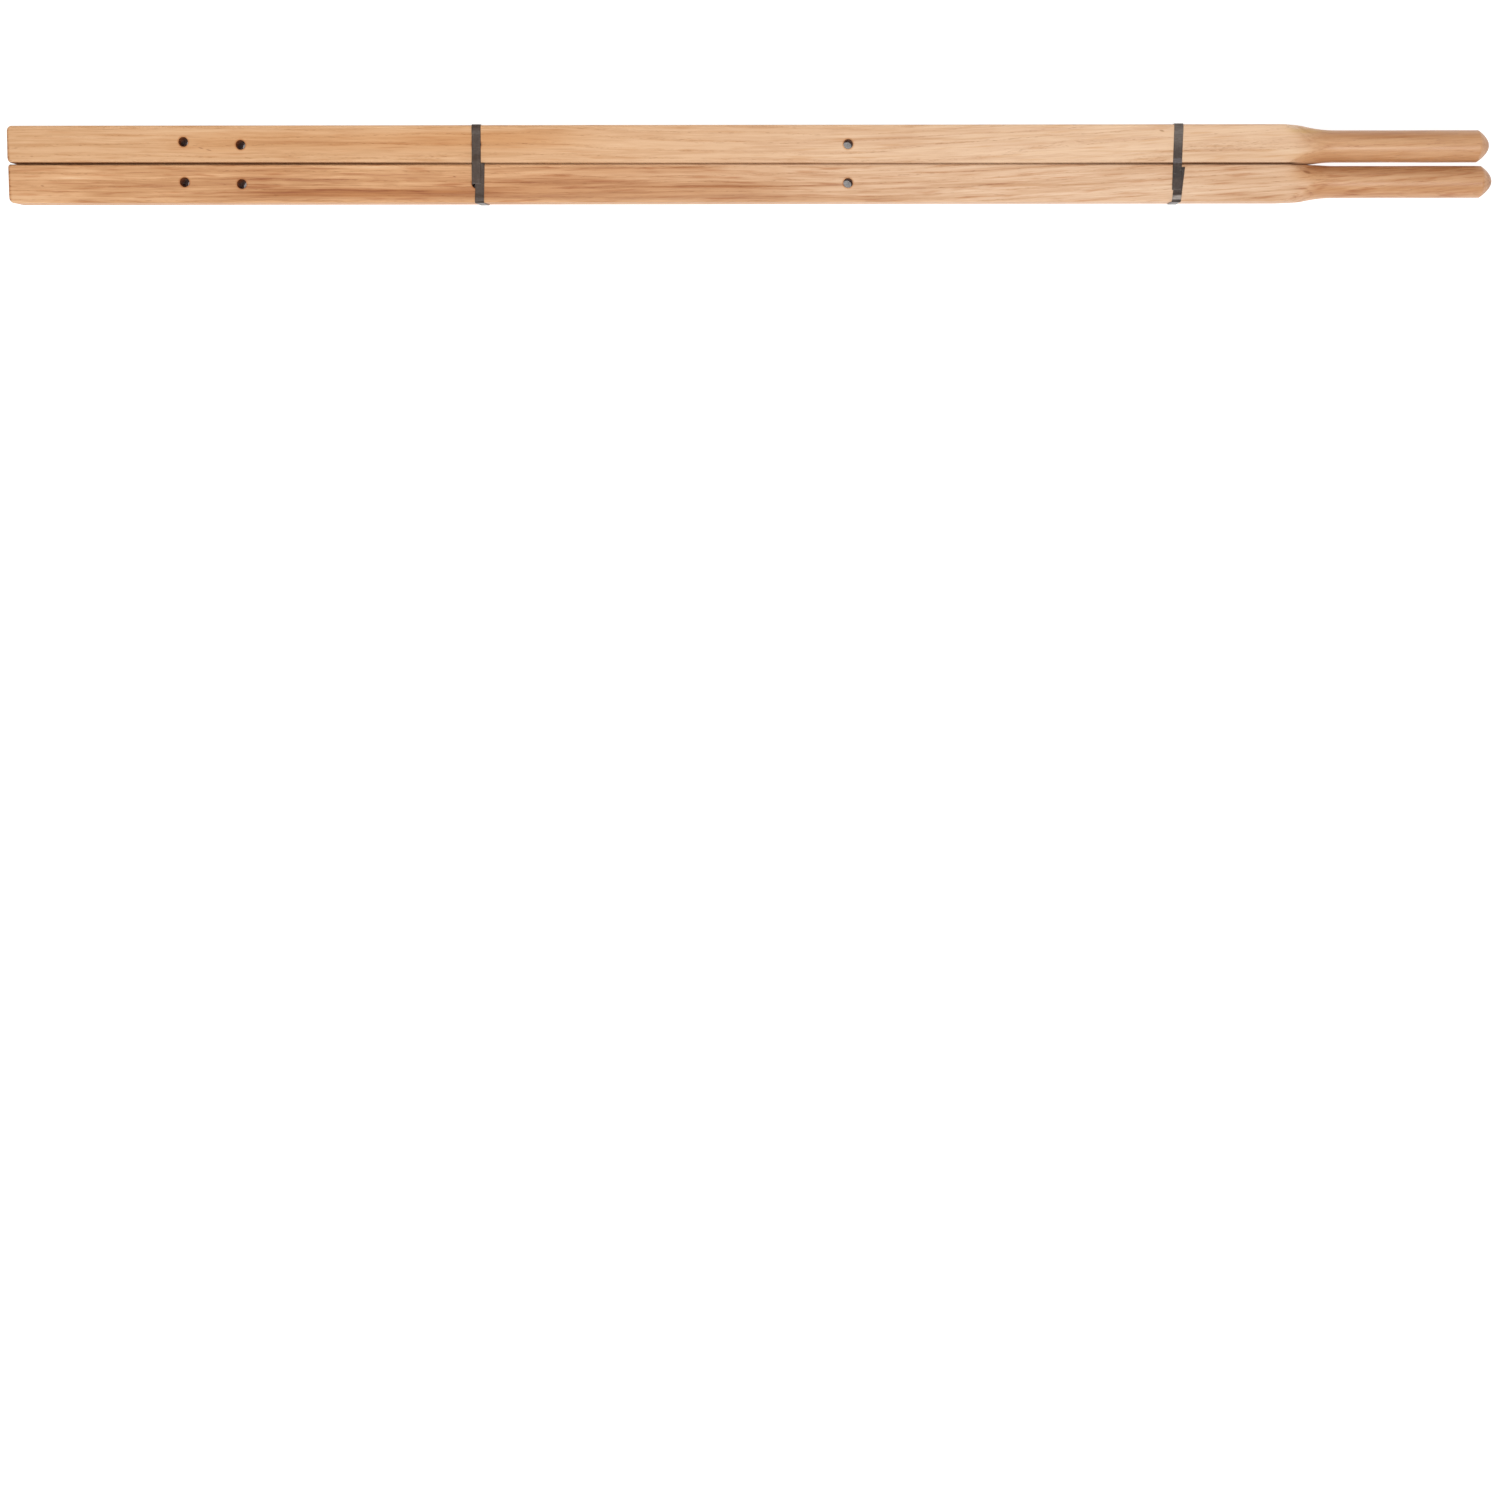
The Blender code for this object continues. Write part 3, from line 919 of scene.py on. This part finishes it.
REAR_STRAP = {
    "along": (0.4380, 0.4340, 0.4352, 0.4344),
    "lean": 0.0026,
    "inner_end": -0.0042,
    "outer_end": -0.0272,
    "inner_humps": ((-0.0325, 0.0036, 0.0060, 0.00060),),
    "outer_humps": ((0.0330, 0.0050, 0.0070, 0.00030),),
    "seed": 12,
    "stops": plastic_stops("2C221E", "40332D", "60524A"),
    # y of the middle, half the width, shade and strength of painted light: sheen on the top, a
    # shadow just past the lap, sheen where the upper layer climbs onto the lap, and a highlight on
    # the crest.
    "painted_light_marks": (
        (0.0340, 0.0240, (0.17, 0.14, 0.12), 0.70),
        (-0.0095, 0.0090, (0.020, 0.014, 0.012), 0.80),
        (0.0020, 0.0034, (0.16, 0.145, 0.15), 0.75),
        (-0.0345, 0.0030, (0.42, 0.36, 0.32), 0.80),
    ),
}

rear_band = make_strap("rear_strap_band", REAR_STRAP)
rear_band.data.materials.append(strapping_plastic("rear strap plastic", REAR_STRAP))
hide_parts("rear_strap")
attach(rear_band, "rear_strap")


# ---------------------------------------------------------------------------------------------
# The stage
# A plain pale floor, a long soft light over the front of the pair and a weaker one behind it,
# and the camera nearly straight above.
# ---------------------------------------------------------------------------------------------

def make_floor():
    """Pale paper with a glow of its own, so that it reads white, except right by the object."""
    bm = bmesh.new()
    bmesh.ops.create_grid(bm, x_segments=1, y_segments=1, size=60.0)
    floor = new_piece("floor", bm)
    bench = Bench("floor paper")
    mottle = bench.noise(bench.place(), detail=3.0, scale=2.0)
    shade = mottle * 0.03 + 0.30
    near = {"Distance": 0.012}
    open_sky = bench.add("ShaderNodeAmbientOcclusion", {"samples": 8}, near, output="AO")
    glow = (mottle * 0.02 + 0.90) * open_sky.rise(0.08, 0.36)
    bench.shader.inputs["Emission Strength"].default_value = 1.0
    bench.feed(bench.shader.inputs["Emission Color"], bench.join(glow, glow, glow))
    floor.data.materials.append(
        bench.finish(bench.join(shade, shade, shade), 0.8 + mottle * 0.05, mottle, bump_depth=0.0001)
    )
    return floor


def area_light(name, place, aim, size, power, colour):
    data = bpy.data.lights.new(name, "AREA")
    data.shape = "RECTANGLE"
    data.size, data.size_y = size
    data.energy = power
    data.color = colour
    light = bpy.data.objects.new(name, data)
    light.location = place
    light.rotation_mode = "QUATERNION"
    light.rotation_quaternion = (Vector(aim) - Vector(place)).to_track_quat("-Z", "Y")
    bpy.context.scene.collection.objects.link(light)


def pale_room():
    """The world: pale walls under a dimmer ceiling, so that shiny tops don't wash out."""
    world = bpy.data.worlds.new("pale room")
    world.use_nodes = True
    nodes, links = world.node_tree.nodes, world.node_tree.links
    sky = nodes["Background"]
    sky.inputs["Color"].default_value = (0.93, 0.96, 1.0, 1.0)
    toward = nodes.new("ShaderNodeTexCoord")
    parts = nodes.new("ShaderNodeSeparateXYZ")
    level = nodes.new("ShaderNodeMapRange")
    level.interpolation_type = "SMOOTHSTEP"
    wall_top, ceiling_start = 0.12, 0.34
    wall_light, ceiling_light = 0.95, 0.27
    level.inputs["From Min"].default_value = wall_top
    level.inputs["From Max"].default_value = ceiling_start
    level.inputs["To Min"].default_value = wall_light
    level.inputs["To Max"].default_value = ceiling_light
    links.new(toward.outputs["Generated"], parts.inputs[0])
    links.new(parts.outputs["Z"], level.inputs["Value"])
    links.new(level.outputs[0], sky.inputs["Strength"])
    return world


def tilted_camera(place, tilt, roll, focal_length):
    """A camera that looks straight down, tilted towards -y and then rolled about its view."""
    lens = bpy.data.cameras.new("camera")
    lens.lens = focal_length
    lens.sensor_width = 36.0
    camera = bpy.data.objects.new("camera", lens)
    camera.location = place
    look = Vector((0.0, -math.sin(tilt), -math.cos(tilt)))
    level_right = Vector((1.0, 0.0, 0.0))
    level_up = Vector((0.0, math.cos(tilt), -math.sin(tilt)))
    right = level_right * math.cos(roll) - level_up * math.sin(roll)
    up = level_up * math.cos(roll) + level_right * math.sin(roll)
    camera.rotation_mode = "QUATERNION"
    camera.rotation_quaternion = Matrix((right, up, -look)).transposed().to_quaternion()
    bpy.context.scene.collection.objects.link(camera)
    return camera


make_floor()
area_light("key", (0.0, -0.98, 3.2), (0.0, 0.0, 0.0), (3.4, 0.8), 93.0, (1.0, 0.985, 0.96))
area_light("fill", (0.2, 1.9, 2.2), (0.0, 0.0, 0.0), (3.0, 1.2), 8.0, (0.95, 0.98, 1.0))
scene = bpy.context.scene
scene.view_settings.view_transform = "Standard"
scene.world = pale_room()
scene.camera = tilted_camera(
    (-0.0032, -0.1997, 2.6), math.radians(9.049), math.radians(0.0748), focal_length=58.603
)
